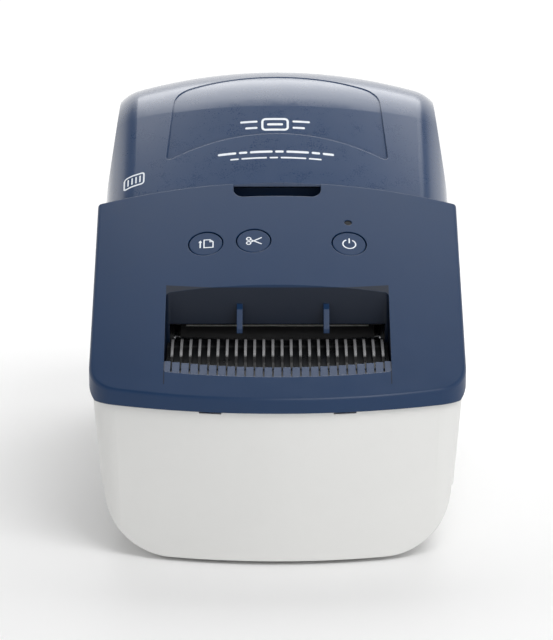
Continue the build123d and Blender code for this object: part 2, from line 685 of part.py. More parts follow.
with BuildPart() as roll_core:
    rod(CORE_R, (-ROLL_HALF + 0.2, ROLL_Y, ROLL_Z), (1, 0, 0), 2 * ROLL_HALF - 0.4, hole=SPOOL_HUB_R + FIT)
save(roll_core.part, "roll_core")

with BuildPart() as label_roll:
    rod(ROLL_R, (-ROLL_HALF, ROLL_Y, ROLL_Z), (1, 0, 0), 2 * ROLL_HALF, hole=CORE_R)
save(label_roll.part, "label_roll")

# The web runs straight from its tangent point on the roll over the bend to the nip.
web_r = ROLL_R + 0.35
to_bend = (STRIP_BEND[0] - ROLL_Y, STRIP_BEND[1] - ROLL_Z)
bend_distance = math.hypot(*to_bend)
leave = math.atan2(to_bend[1], to_bend[0]) - math.acos(web_r / bend_distance)
leave_point = (ROLL_Y + web_r * math.cos(leave), ROLL_Z + web_r * math.sin(leave))
WEB = [leave_point, STRIP_BEND, (-40.0, STRIP_Z), (-53.5, STRIP_Z)]

with BuildPart() as label_strip:
    underside = [(y, z - STRIP_T) for y, z in reversed(WEB)]
    side_prism(WEB + underside, -STRIP_HALF, STRIP_HALF)
save(label_strip.part, "label_strip")

with BuildPart() as entry_guide:
    side_prism([(-8.8, 78.6), (-9.2, 79.4), (-14, 78.9), (-38, 69.3), (-38, 67.8), (-14, 77.4), (-11.2, 78.6)], -36.4, 36.4)
    # feet down to the tub's front wall
    for x in (-30, 30):
        box_between((x - 3, bay_front - BAY_T - 1.6, 70), (x + 3, bay_front - BAY_T - 0.1, 78.4))
save(entry_guide.part, "entry_guide")

# black ribbed guide in the window
GUIDE_REAR, GUIDE_FRONT = -62.2, -90.4
with BuildPart() as label_guide:
    side_prism([(GUIDE_REAR, 66.0), (GUIDE_FRONT, 61.6), (GUIDE_FRONT, 60.2), (GUIDE_REAR, 64.4)], -37.1, 37.1)
    side_prism([(-58.5, 62.8), (GUIDE_REAR - 1, 62.8), (GUIDE_REAR - 1, 64.8), (GUIDE_REAR, 66.0), (-60.6, 66.4), (-58.5, 64.2)], -34, 34)
    for index in range(-12, 12):
        x = (index + 0.5) * RIB_PITCH
        side_prism(
            [(GUIDE_REAR + 0.6, 65.0), (GUIDE_REAR + 0.2, 67.2), (GUIDE_REAR - 1.2, 67.9), (-70, 67.7), (-77, 67.0),
             (-81, 66.0), (-83.4, 64.6), (-84.8, 62.9), (-85.2, 61.4)],
            x - 0.45, x + 0.45,
        )
save(label_guide.part, "label_guide")

# ======================= print unit =======================
FLOOR_Z = PLATE_TOP + 1.6
BUSH_R = 4.0
IDLER_STUD_R = 2.0
MOTOR_R = 17.5
PIVOT_Y, PIVOT_Z = -36.5, 78.0
SINK_TOP = 77.0
BAR_Z = 82.5
GEAR_X = -PLATE_X - 0.8        # gear faces nearest the side plate

idler_distance = (PLATEN_TEETH + IDLER_TEETH) * GEAR_MODULE / 2 + BACKLASH
pinion_distance = (IDLER_TEETH + PINION_TEETH) * GEAR_MODULE / 2 + BACKLASH
idler_y = PLATEN_Y + idler_distance * math.cos(math.radians(IDLER_ANGLE))
idler_z = PLATEN_Z + idler_distance * math.sin(math.radians(IDLER_ANGLE))
motor_y = idler_y + pinion_distance * math.cos(math.radians(PINION_ANGLE))
motor_z = idler_z + pinion_distance * math.sin(math.radians(PINION_ANGLE))
idler_phase = IDLER_ANGLE + 180 + 180 / IDLER_TEETH
tooth_offset = (PINION_ANGLE - idler_phase) % (360 / IDLER_TEETH)
pinion_phase = PINION_ANGLE + 180 + tooth_offset * IDLER_TEETH / PINION_TEETH + 180 / PINION_TEETH


def gear_plane(y, z):
    """Plane of a gear beside the left plate, looking along +X."""
    return Plane(origin=(GEAR_X - GEAR_T, y, z), x_dir=(0, 1, 0), z_dir=(1, 0, 0))


PLATE_OUTLINE = [(-66, FLOOR_Z), (-28, FLOOR_Z), (-28, 86), (-44, 86), (-54, 80), (-56.8, 80), (-56.8, 57), (-66, 57)]
for side, name in ((-1, "left_side_plate"), (1, "right_side_plate")):
    inner, far = sorted((side * (PLATE_X - PLATE_T), side * PLATE_X))
    with BuildPart() as plate:
        side_prism(PLATE_OUTLINE, inner, far)
        rod(BUSH_R + 0.02, (-60, PLATEN_Y, PLATEN_Z), (1, 0, 0), 120, mode=Mode.SUBTRACT)
        rod(1.52, (-60, PIVOT_Y, PIVOT_Z), (1, 0, 0), 120, mode=Mode.SUBTRACT)
        if side < 0:
            rod(3.0, (-60, motor_y, motor_z), (1, 0, 0), 40, mode=Mode.SUBTRACT)
            rod(IDLER_STUD_R + 0.02, (-60, idler_y, idler_z), (1, 0, 0), 40, mode=Mode.SUBTRACT)
        else:
            rod(9.0, (30, -47, 30), (1, 0, 0), 20, mode=Mode.SUBTRACT)
    save(plate.part, name)

with BuildPart() as chassis_floor:
    box_between((-PLATE_X + PLATE_T + 0.02, -66, FLOOR_Z), (PLATE_X - PLATE_T - 0.02, -28, FLOOR_Z + 1.5))
    for side in (-1, 1):
        inner = side * (PLATE_X - PLATE_T - 0.02)
        low, high = sorted((inner, inner - side * 1.5))
        box_between((low, -64, FLOOR_Z), (high, -30, FLOOR_Z + 4.5))
    for x in (-30, 30):
        for y in (-62, -32):
            rod(1.6, (x, y, 0), (0, 0, 1), 10, mode=Mode.SUBTRACT)
save(chassis_floor.part, "chassis_floor")

with BuildPart() as chassis_screws:
    for x in (-30, 30):
        for y in (-62, -32):
            screw(Plane.XY.offset(FLOOR_Z + 1.5).move(Location((x, y, 0))), length=1.4)
save(chassis_screws.part, "chassis_screws")

with BuildPart() as platen_shaft:
    rod(SHAFT_R, (GEAR_X - GEAR_T - 0.6, PLATEN_Y, PLATEN_Z), (1, 0, 0), 41 - GEAR_X + GEAR_T + 0.6)
save(platen_shaft.part, "platen_shaft")

with BuildPart() as platen_rubber:
    rod(PLATEN_R, (-33, PLATEN_Y, PLATEN_Z), (1, 0, 0), 66, hole=SHAFT_R)
save(platen_rubber.part, "platen_rubber")

with BuildPart() as platen_bushes:
    for side in (-1, 1):
        out = (side, 0, 0)
        rod(BUSH_R, (side * (PLATE_X - PLATE_T), PLATEN_Y, PLATEN_Z), out, PLATE_T + 0.3, hole=SHAFT_R + FIT)
        rod(BUSH_R + 1.2, (side * (PLATE_X - PLATE_T - 1.2), PLATEN_Y, PLATEN_Z), out, 1.18, hole=SHAFT_R + FIT)
save(platen_bushes.part, "platen_bushes")

with BuildPart() as platen_gear:
    involute_gear(PLATEN_TEETH, GEAR_MODULE, gear_plane(PLATEN_Y, PLATEN_Z), GEAR_T, SHAFT_R, IDLER_ANGLE)
save(platen_gear.part, "platen_gear")

with BuildPart() as idler_gear:
    involute_gear(IDLER_TEETH, GEAR_MODULE, gear_plane(idler_y, idler_z), GEAR_T, IDLER_STUD_R + FIT, idler_phase)
save(idler_gear.part, "idler_gear")

with BuildPart() as idler_stud:
    rod(IDLER_STUD_R, (-PLATE_X + PLATE_T, idler_y, idler_z), (-1, 0, 0), PLATE_T + 0.8 + GEAR_T + 0.2)
    rod(3.4, (GEAR_X - GEAR_T - 0.2, idler_y, idler_z), (-1, 0, 0), 0.9)
save(idler_stud.part, "idler_stud")

with BuildPart() as motor_pinion:
    involute_gear(PINION_TEETH, GEAR_MODULE, gear_plane(motor_y, motor_z), GEAR_T, 1.5, pinion_phase)
save(motor_pinion.part, "motor_pinion")

with BuildPart() as motor_shaft:
    rod(1.5, (GEAR_X - GEAR_T - 0.4, motor_y, motor_z), (1, 0, 0), GEAR_T + 12)
save(motor_shaft.part, "motor_shaft")

with BuildPart() as feed_motor:
    inner = -PLATE_X + PLATE_T
    rod(MOTOR_R, (inner + 1.4, motor_y, motor_z), (1, 0, 0), 20)
    fillet(feed_motor.edges().filter_by(GeomType.CIRCLE).sort_by(Axis.X)[-1], 1.0)
    with BuildSketch(Plane.YZ.offset(inner + 0.1)) as flange:
        with Locations((motor_y, motor_z)):
            SlotOverall(2 * MOTOR_R + 2, 20)
            Circle(MOTOR_R - 2)
    extrude(flange.sketch, amount=1.4)
    rod(2.0, (inner - 1, motor_y, motor_z), (1, 0, 0), 12, mode=Mode.SUBTRACT)
save(feed_motor.part, "feed_motor")

with BuildPart() as print_head:
    box_between((-34, -51.5, 69.9), (34, -40.5, 71.1))
save(print_head.part, "print_head")

with BuildPart() as head_heat_sink:
    side_prism([(-52.5, 71.1), (-40, 71.1), (-40, SINK_TOP), (-52.5, SINK_TOP)], -35, 35)
    # cooling channels along the top
    for y in (-51.2, -42.6):
        box_between((-36, y - 0.7, SINK_TOP - 3), (36, y + 0.7, SINK_TOP + 1), mode=Mode.SUBTRACT)
    for side in (-1, 1):
        low, high = sorted((side * 30.0, side * 35.0))
        rod(4.0, (low, PIVOT_Y, PIVOT_Z), (1, 0, 0), 5.0)
        side_prism([(-41, 72.5), (-41, SINK_TOP), (PIVOT_Y, PIVOT_Z + 3.5), (PIVOT_Y, PIVOT_Z - 3.5)], low, high)
    rod(1.5 + FIT, (-60, PIVOT_Y, PIVOT_Z), (1, 0, 0), 120, mode=Mode.SUBTRACT)
save(head_heat_sink.part, "head_heat_sink")

with BuildPart() as head_pivot_shaft:
    rod(1.5, (-38.6, PIVOT_Y, PIVOT_Z), (1, 0, 0), 77.2)
save(head_pivot_shaft.part, "head_pivot_shaft")

with BuildPart() as head_spring_bar:
    box_between((-36.4, -48, BAR_Z), (36.4, -41, BAR_Z + 1.2))
    for side in (-1, 1):
        low, high = sorted((side * 36.4, side * 35.2))
        box_between((low, -48, BAR_Z - 3), (high, -41, BAR_Z))
save(head_spring_bar.part, "head_spring_bar")

with BuildPart() as head_springs:
    coil_h = BAR_Z - SINK_TOP - 0.9
    for x in (-20, 20):
        coil = Helix(pitch=coil_h / 4, height=coil_h, radius=2.4, center=(x, -46, SINK_TOP + 0.45))
        with BuildSketch(Plane(origin=coil @ 0, z_dir=coil % 0)) as wire:
            Circle(0.35)
        sweep(wire.sketch, path=coil)
save(head_springs.part, "head_springs")

# ======================= cutter =======================
BLADE_REAR, BLADE_FRONT = 55.8, 56.6      # distances ahead of the origin
FRAME_REAR, FRAME_FRONT = 57.0, 58.4
CRANK_REAR, CRANK_T = 58.9, 3.0
BRIDGE_REAR, BRIDGE_FRONT = 62.4, 63.6
PIN_RADIUS = 1.25
BLADE_EDGE = 66.4
cutter_distance = (CRANK_TEETH + CUTTER_TEETH) * CRANK_MODULE / 2 + BACKLASH
cutter_angle = -30.0
cutter_x = cutter_distance * math.cos(math.radians(cutter_angle))
cutter_z = CRANK_Z + cutter_distance * math.sin(math.radians(cutter_angle))
pin_x = CRANK_PIN_R * math.cos(math.radians(CRANK_REST))
pin_z = CRANK_Z + CRANK_PIN_R * math.sin(math.radians(CRANK_REST))


def front_plane(x, z, ahead):
    """A plane facing forward at a distance ahead of the origin."""
    return Plane(origin=(x, -ahead, z), x_dir=(1, 0, 0), z_dir=(0, -1, 0))


with BuildPart() as cutter_frame:
    box_between((-36.4, -FRAME_FRONT, 48), (36.4, -FRAME_REAR, 62.6))
    box_between((-13, -FRAME_FRONT, 31), (29, -FRAME_REAR, 50))
    box_between((-13, -BRIDGE_FRONT, 31), (29, -BRIDGE_REAR, 61.4))
    for x, z in ((-10, 35), (26, 34.5), (26, 58.5)):
        rod(2.2, (x, -FRAME_REAR, z), (0, -1, 0), BRIDGE_FRONT - FRAME_REAR)
    with BuildSketch(front_plane(0, CRANK_Z, FRAME_REAR - 1)) as slots:
        with BuildLine(mode=Mode.PRIVATE) as arc:
            CenterArc((0, 0), CRANK_PIN_R, -68, 136)
        SlotArc(arc.edges()[0], 2 * PIN_RADIUS + 0.9)
    extrude(slots.sketch, amount=3.2, mode=Mode.SUBTRACT)
    rod(1.52, (0, -50, CRANK_Z), (0, -1, 0), 20, mode=Mode.SUBTRACT)
    rod(3.0, (cutter_x, -60, cutter_z), (0, -1, 0), 8, mode=Mode.SUBTRACT)
save(cutter_frame.part, "cutter_frame")

with BuildPart() as crank_stud:
    rod(1.5, (0, -FRAME_REAR, CRANK_Z), (0, -1, 0), BRIDGE_FRONT - FRAME_REAR + 0.6)
save(crank_stud.part, "crank_stud")

with BuildPart() as crank_gear:
    involute_gear(CRANK_TEETH, CRANK_MODULE, front_plane(0, CRANK_Z, CRANK_REAR), CRANK_T, 1.5 + FIT, cutter_angle)
    rod(PIN_RADIUS, (pin_x, -CRANK_REAR - 1, pin_z), (0, 1, 0), CRANK_REAR + 1 - BLADE_REAR + 0.2)
save(crank_gear.part, "crank_gear")

with BuildPart() as moving_blade:
    box_between((-34.5, -BLADE_FRONT, 58), (34.5, -BLADE_REAR, BLADE_EDGE))
    box_between((-2.5, -BLADE_FRONT, pin_z - 4), (10, -BLADE_REAR, 59))
    # cutting edge ground from the front, highest at the ends
    with BuildSketch(front_plane(0, 0, BLADE_REAR - 1)) as dip:
        with BuildLine():
            Polyline((-34.5, BLADE_EDGE), (0, BLADE_EDGE - 1.4), (34.5, BLADE_EDGE), (34.5, 80), (-34.5, 80), close=True)
        make_face()
    extrude(dip.sketch, amount=4, mode=Mode.SUBTRACT)
    # slot for the crank pin
    with BuildSketch(front_plane(3.4, pin_z, BLADE_REAR - 1)) as slot:
        Rectangle(7.4, 2 * PIN_RADIUS + 0.9)
    extrude(slot.sketch, amount=4, mode=Mode.SUBTRACT)
save(moving_blade.part, "moving_blade")

with BuildPart() as fixed_blade:
    box_between((-36.4, -55.7, 70.6), (36.4, -54.7, 79))
    box_between((-36.4, -55.7, 77.8), (36.4, -53.4, 79))
save(fixed_blade.part, "fixed_blade")

with BuildPart() as cutter_pinion:
    involute_gear(
        CUTTER_TEETH, CRANK_MODULE, front_plane(cutter_x, cutter_z, CRANK_REAR), CRANK_T, 1.0,
        cutter_angle + 180 + 180 / CUTTER_TEETH,
    )
save(cutter_pinion.part, "cutter_pinion")

with BuildPart() as cutter_shaft:
    rod(1.0, (cutter_x, -CRANK_REAR, cutter_z), (0, -1, 0), 12)
save(cutter_shaft.part, "cutter_shaft")

with BuildPart() as cutter_motor:
    rod(10.0, (cutter_x, -BRIDGE_FRONT - 0.1, cutter_z), (0, -1, 0), 24)
    fillet(cutter_motor.edges().filter_by(GeomType.CIRCLE).sort_by(Axis.Y)[0], 1.0)
    rod(3.0, (cutter_x, -BRIDGE_FRONT - 24, cutter_z), (0, -1, 0), 2.0)
    rod(1.2, (cutter_x, -60, cutter_z), (0, -1, 0), 13, mode=Mode.SUBTRACT)
save(cutter_motor.part, "cutter_motor")

# ======================= electronics =======================
BOARD_Z = PLATE_TOP + 2.8

with BuildPart() as main_board:
    box_between((-40, -2, BOARD_Z), (40, 92, BOARD_Z + BOARD_T))
save(main_board.part, "main_board")

with BuildPart() as board_components:
    top = BOARD_Z + BOARD_T
    box_between((-10, 30, top), (4, 44, top + 1.6))
    box_between((14, 34, top), (24, 41, top + 1.2))
    box_between((-30, 24, top), (-22, 32, top + 3.0))
    box_between((-38, 2, top), (-10, 7, top + 6.0))
    box_between((8, 2, top), (30, 7, top + 6.0))
    for x, y in ((30, 60), (30, 72), (-34, 60)):
        rod(4.0, (x, y, top), (0, 0, 1), 9.0)
save(board_components.part, "board_components")

with BuildPart() as usb_port:
    face = rear_face(USB_Z) - 0.3
    box_between((USB_X - 6, face - 16, BOARD_Z + BOARD_T + 0.05), (USB_X + 6, face, USB_Z + 5.5))
    with BuildSketch(Plane.XZ.offset(-face - 1)) as mouth:
        with Locations((USB_X, USB_Z)):
            Rectangle(8.5, 7.8)
            Rectangle(5.6, 3.0, mode=Mode.SUBTRACT)
    extrude(mouth.sketch, amount=10, mode=Mode.SUBTRACT)
    box_between((USB_X - 4, face - 1.5, USB_Z - 1.6), (USB_X + 4, face + 1, USB_Z + 1.6), mode=Mode.SUBTRACT)
save(usb_port.part, "usb_port")

with BuildPart() as power_inlet:
    face = rear_face(INLET_Z) - 0.3
    box_between((INLET_X - 11, face - 18, INLET_Z - 8), (INLET_X + 11, face, INLET_Z + 8))
    with BuildSketch(Plane.XZ.offset(-face - 1)) as mouth:
        with Locations((INLET_X, INLET_Z)):
            SlotOverall(18.4, 9.4)
    extrude(mouth.sketch, amount=14, mode=Mode.SUBTRACT)
save(power_inlet.part, "power_inlet")

with BuildPart() as inlet_pins:
    face = rear_face(INLET_Z) - 0.3
    for x in (-4.3, 4.3):
        rod(1.15, (INLET_X + x, face - 12.9, INLET_Z), (0, 1, 0), 10.5)
save(inlet_pins.part, "inlet_pins")

with BuildPart() as power_board:
    box_between((-36, -89, BOARD_Z), (36, -69, BOARD_Z + BOARD_T))
save(power_board.part, "power_board")

with BuildPart() as transformer:
    top = BOARD_Z + BOARD_T
    box_between((-26, -86, top), (-4, -71, top + 16))
    box_between((-23, -87.5, top + 3), (-7, -69.5, top + 13))
save(transformer.part, "transformer")

with BuildPart() as capacitors:
    for x in (6, 20):
        rod(5.5, (x, -79, BOARD_Z + BOARD_T), (0, 0, 1), 16)
    fillet(capacitors.edges().group_by(Axis.Z)[-1], 0.8)
save(capacitors.part, "capacitors")

with BuildPart() as lid_switch:
    box_between((SWITCH_X - 3, SWITCH_Y - 6, 80), (SWITCH_X + 3, SWITCH_Y + 6, DECK_LOW - 0.1))
    box_between((SWITCH_X - 1.5, SWITCH_Y - 3, DECK_LOW - 0.2), (SWITCH_X + 1.5, SWITCH_Y + 3, DECK_LOW + 3.4))
save(lid_switch.part, "lid_switch")
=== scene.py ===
import json
import math

import bmesh
import bpy
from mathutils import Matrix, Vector
from mathutils.bvhtree import BVHTree


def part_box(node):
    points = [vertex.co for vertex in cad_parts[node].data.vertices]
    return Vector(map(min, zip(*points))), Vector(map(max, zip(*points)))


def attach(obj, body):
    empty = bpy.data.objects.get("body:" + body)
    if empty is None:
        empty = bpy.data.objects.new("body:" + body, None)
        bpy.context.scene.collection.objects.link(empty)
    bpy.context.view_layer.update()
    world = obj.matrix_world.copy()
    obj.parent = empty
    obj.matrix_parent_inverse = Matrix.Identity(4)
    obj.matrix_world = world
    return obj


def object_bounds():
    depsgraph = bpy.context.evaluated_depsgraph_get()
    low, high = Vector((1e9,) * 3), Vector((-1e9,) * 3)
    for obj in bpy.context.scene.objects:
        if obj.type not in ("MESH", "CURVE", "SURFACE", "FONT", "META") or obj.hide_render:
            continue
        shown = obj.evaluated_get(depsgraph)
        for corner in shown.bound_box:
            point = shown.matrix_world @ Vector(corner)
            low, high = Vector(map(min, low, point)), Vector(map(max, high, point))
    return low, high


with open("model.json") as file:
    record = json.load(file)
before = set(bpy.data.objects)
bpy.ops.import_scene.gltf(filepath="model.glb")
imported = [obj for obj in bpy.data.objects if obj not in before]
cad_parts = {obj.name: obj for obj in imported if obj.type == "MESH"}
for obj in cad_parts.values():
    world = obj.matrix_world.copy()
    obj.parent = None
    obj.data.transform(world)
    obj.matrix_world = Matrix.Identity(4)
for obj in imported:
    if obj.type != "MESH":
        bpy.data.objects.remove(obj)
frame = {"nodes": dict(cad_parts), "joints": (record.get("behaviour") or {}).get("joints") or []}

# Desktop label maker. Metres, +Z up, front towards -Y.
MM = 0.001
CAD_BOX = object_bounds()
NODES = frame["nodes"]
JOINTS = {j["name"]: j for j in frame["joints"]}


def linear(r, g, b):
    """An sRGB colour, 0 to 255, as linear numbers."""
    def one(v):
        v /= 255
        return v / 12.92 if v <= 0.04045 else ((v + 0.055) / 1.055) ** 2.4
    return (one(r), one(g), one(b), 1.0)


def scaled(color, k):
    return tuple(min(1.0, c * k) for c in color[:3]) + (1.0,)


# ---------------------------------------------------------------- shader helpers
class Graph:
    """One material's node graph, with short calls for the nodes that the finishes share."""

    def __init__(self, name):
        self.mat = bpy.data.materials.new(name)
        self.mat.use_nodes = True
        self.tree = self.mat.node_tree
        self.bsdf = self.tree.nodes["Principled BSDF"]
        self.place = self.add("ShaderNodeTexCoord").outputs["Object"]

    def add(self, kind, **values):
        node = self.tree.nodes.new(kind)
        for key, value in values.items():
            setattr(node, key, value)
        return node

    def link(self, source, target):
        if isinstance(source, (int, float, tuple)):
            target.default_value = source
        else:
            self.tree.links.new(source, target)

    def math(self, op, a, b=0.0, c=0.0):
        node = self.add("ShaderNodeMath", operation=op)
        for value, socket in zip((a, b, c), node.inputs):
            self.link(value, socket)
        return node.outputs[0]

    def vector(self, op, a, b=(0.0, 0.0, 0.0)):
        node = self.add("ShaderNodeVectorMath", operation=op)
        self.link(a, node.inputs[0])
        self.link(b, node.inputs[1])
        return node.outputs["Value" if op in ("DOT_PRODUCT", "LENGTH", "DISTANCE") else "Vector"]

    def stretched(self, scale, offset=(0.0, 0.0, 0.0)):
        node = self.add("ShaderNodeMapping")
        self.link(self.place, node.inputs["Vector"])
        node.inputs["Location"].default_value = offset
        node.inputs["Scale"].default_value = scale
        return node.outputs[0]

    def noise(self, scale, detail=2.0, rough=0.5, vector=None, distortion=0.0):
        node = self.add("ShaderNodeTexNoise")
        self.link(vector or self.place, node.inputs["Vector"])
        node.inputs["Scale"].default_value = scale
        node.inputs["Detail"].default_value = detail
        node.inputs["Roughness"].default_value = rough
        node.inputs["Distortion"].default_value = distortion
        return node.outputs["Fac"]

    def cells(self, scale, feature="F1", vector=None, output="Distance"):
        node = self.add("ShaderNodeTexVoronoi", feature=feature)
        self.link(vector or self.place, node.inputs["Vector"])
        node.inputs["Scale"].default_value = scale
        return node.outputs[output]

    def remap(self, value, low, high, to_low, to_high, smooth=False):
        node = self.add("ShaderNodeMapRange")
        if smooth:
            node.interpolation_type = "SMOOTHSTEP"
        self.link(value, node.inputs["Value"])
        for key, number in (("From Min", low), ("From Max", high), ("To Min", to_low), ("To Max", to_high)):
            node.inputs[key].default_value = number
        return node.outputs["Result"]

    def blend(self, fac, a, b, kind="MIX"):
        node = self.add("ShaderNodeMix", data_type="RGBA", blend_type=kind)
        self.link(fac, node.inputs["Factor"])
        self.link(a, node.inputs[6])
        self.link(b, node.inputs[7])
        return node.outputs[2]

    def bevel(self, radius):
        node = self.add("ShaderNodeBevel", samples=6)
        node.inputs["Radius"].default_value = radius
        return node.outputs["Normal"]

    def edges(self, soft_normal):
        """1 on sharp edges and 0 on flat ground, from how far the softened normal leans."""
        true = self.add("ShaderNodeNewGeometry").outputs["Normal"]
        lean = self.vector("DOT_PRODUCT", soft_normal, true)
        return self.remap(lean, 0.995, 0.86, 0.0, 1.0, smooth=True)

    def bump(self, height, distance, normal=None, strength=1.0):
        node = self.add("ShaderNodeBump")
        node.inputs["Strength"].default_value = strength
        node.inputs["Distance"].default_value = distance
        self.link(height, node.inputs["Height"])
        if normal is not None:
            self.link(normal, node.inputs["Normal"])
        return node.outputs["Normal"]

    def finish(self, color, rough, normal=None, **sockets):
        self.link(color, self.bsdf.inputs["Base Color"])
        self.link(rough, self.bsdf.inputs["Roughness"])
        if normal is not None:
            self.link(normal, self.bsdf.inputs["Normal"])
        for key, value in sockets.items():
            self.bsdf.inputs[key.replace("_", " ")].default_value = value
        return self.mat


# bounds of the painted shade on the panel window's walls
WINDOW_GAP = 0.1 * MM       # from the guide's side to the window's side wall
WINDOW_WALL = 0.45 * MM     # from the guide's side to the far face of that wall
WINDOW_REAR = 1.0 * MM      # how far the rear wall comes forward of the guide's rear
WINDOW_LIP = 6.5 * MM       # how far the side walls come forward of the guide
WINDOW_HEIGHT = 16.4 * MM   # top of the walls above the guide


def window_painted_shade(g):
    """1 on the window's rear and side walls, where the panel's colour is darkened as painted shade."""
    lo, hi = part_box("label_guide")
    split = g.add("ShaderNodeSeparateXYZ")
    g.link(g.place, split.inputs[0])
    across = g.math("ABSOLUTE", split.outputs[0])
    within = g.math("LESS_THAN", across, hi.x + WINDOW_WALL)
    rear = g.math("GREATER_THAN", split.outputs[1], hi.y - WINDOW_REAR)
    side = g.math("GREATER_THAN", across, hi.x + WINDOW_GAP)
    side = g.math("MULTIPLY", side, g.math("GREATER_THAN", split.outputs[1], lo.y - WINDOW_LIP))
    low = g.math("LESS_THAN", split.outputs[2], hi.z + WINDOW_HEIGHT)
    return g.math("MULTIPLY", g.math("MULTIPLY", within, low), g.math("MAXIMUM", rear, side))


def moulded(
    name, color, rough, grain=0.35, depth=0.012, mottle=0.05, edge=0.35, wear=0.25, inner=False, **sockets
):
    """Spark-textured injection-moulded plastic: fine grain, faint flow mottling, rubbed edges, and optional
    painted shade on the window's walls.
    """
    g = Graph(name)
    flow = g.noise(22.0, 4.0, 0.6, g.stretched((1.0, 0.55, 1.0)), 0.6)
    patch = g.noise(160.0, 3.0, 0.55)
    tone = g.blend(g.remap(flow, 0.3, 0.7, 0.0, 1.0), scaled(color, 1 - mottle), scaled(color, 1 + mottle))
    tone = g.blend(g.remap(patch, 0.35, 0.65, 0.0, 0.35), tone, scaled(color, 1 + mottle * 1.4))
    if inner:
        # painted shade: the window's walls are darkened to a quarter of the panel's colour
        tone = g.blend(window_painted_shade(g), tone, scaled(color, 0.25))
    soft = g.bevel(edge * MM)
    rub = g.edges(soft)
    tone = g.blend(g.math("MULTIPLY", rub, wear), tone, scaled(color, 1.55))
    pits = g.noise(1.0 / (grain * MM), 2.0, 0.6)
    fine = g.noise(2.6 / (grain * MM), 1.0, 0.5)
    height = g.math("MULTIPLY_ADD", fine, 0.4, pits)
    gloss = g.remap(patch, 0.3, 0.7, rough - 0.03, rough + 0.04)
    gloss = g.math("ADD", gloss, g.remap(pits, 0.3, 0.7, -0.04, 0.04))
    gloss = g.math("SUBTRACT", gloss, g.math("MULTIPLY", rub, 0.08))
    return g.finish(tone, gloss, g.bump(height, depth * MM, soft), **sockets)


def metal(name, color, rough, brush=(1.0, 1.0, 1.0), brushed=0.25, scratches=0.2, spangle=0.0, edge=0.12):
    """Bare or plated metal with a directional finish, faint scratches and an optional zinc spangle."""
    g = Graph(name)
    lines = g.noise(900.0, 3.0, 0.7, g.stretched(brush))
    cloud = g.noise(70.0, 4.0, 0.6)
    tone = g.blend(g.remap(cloud, 0.3, 0.7, 0.0, 1.0), scaled(color, 0.86), scaled(color, 1.06))
    if spangle:
        flake = g.cells(420.0, output="Color")
        tone = g.blend(spangle, tone, flake, "OVERLAY")
    scratch = g.noise(260.0, 5.0, 0.75, g.stretched((6.0, 1.0, 6.0)), 1.5)
    marks = g.remap(scratch, 0.62, 0.72, 0.0, scratches)
    gloss = g.math("ADD", g.remap(lines, 0.25, 0.75, rough - brushed * 0.3, rough + brushed * 0.3), marks)
    soft = g.bevel(edge * MM)
    tone = g.blend(g.math("MULTIPLY", g.edges(soft), 0.4), tone, scaled(color, 1.3))
    height = g.math("MULTIPLY_ADD", marks, -0.5, lines)
    return g.finish(tone, gloss, g.bump(height, 0.006 * MM, soft), Metallic=1.0)


# ---------------------------------------------------------------- finishes by material slot
def rubber_finish(name, color, rough, ground=False):
    g = Graph(name)
    dust = g.noise(90.0, 5.0, 0.7)
    grit = g.noise(2600.0, 3.0, 0.7)
    tone = g.blend(g.remap(dust, 0.5, 0.75, 0.0, 0.5), color, scaled(color, 2.6))
    height = grit
    if ground:
        rings = g.noise(1.0, 4.0, 0.6, g.stretched((2400.0, 60.0, 60.0)))
        height = g.math("ADD", grit, rings)
    soft = g.bevel(0.2 * MM)
    gloss = g.remap(dust, 0.3, 0.7, rough - 0.05, rough + 0.06)
    return g.finish(tone, gloss, g.bump(height, 0.02 * MM, soft), Sheen_Weight=0.15, Sheen_Roughness=0.5)


def board_finish(name):
    """Green solder mask over copper tracks, with pads and plated holes."""
    g = Graph(name)
    mask, copper, pad = linear(18, 92, 52), linear(44, 128, 72), linear(196, 190, 170)
    grid = g.add("ShaderNodeTexBrick", offset=0.35, offset_frequency=3)
    g.link(g.place, grid.inputs["Vector"])
    grid.inputs["Scale"].default_value = 210.0
    grid.inputs["Mortar Size"].default_value = 0.035
    grid.inputs["Mortar Smooth"].default_value = 0.1
    tracks = grid.outputs["Fac"]
    blocks = g.remap(g.noise(55.0, 1.0, 0.4), 0.49, 0.51, 0.0, 1.0)
    lit = g.math("MULTIPLY", tracks, blocks)
    tone = g.blend(lit, mask, copper)
    dots = g.remap(g.cells(330.0), 0.16, 0.2, 1.0, 0.0)
    dots = g.math("MULTIPLY", dots, g.remap(g.noise(80.0, 0.0), 0.55, 0.57, 0.0, 1.0))
    tone = g.blend(dots, tone, pad)
    weave = g.noise(1500.0, 2.0, 0.6, g.stretched((1.0, 3.0, 1.0)))
    height = g.math("ADD", lit, g.math("MULTIPLY", weave, 0.3))
    gloss = g.remap(weave, 0.3, 0.7, 0.28, 0.4)
    normal = g.bump(height, 0.03 * MM, g.bevel(0.1 * MM))
    return g.finish(tone, gloss, normal, Coat_Weight=0.25, Coat_Roughness=0.2)


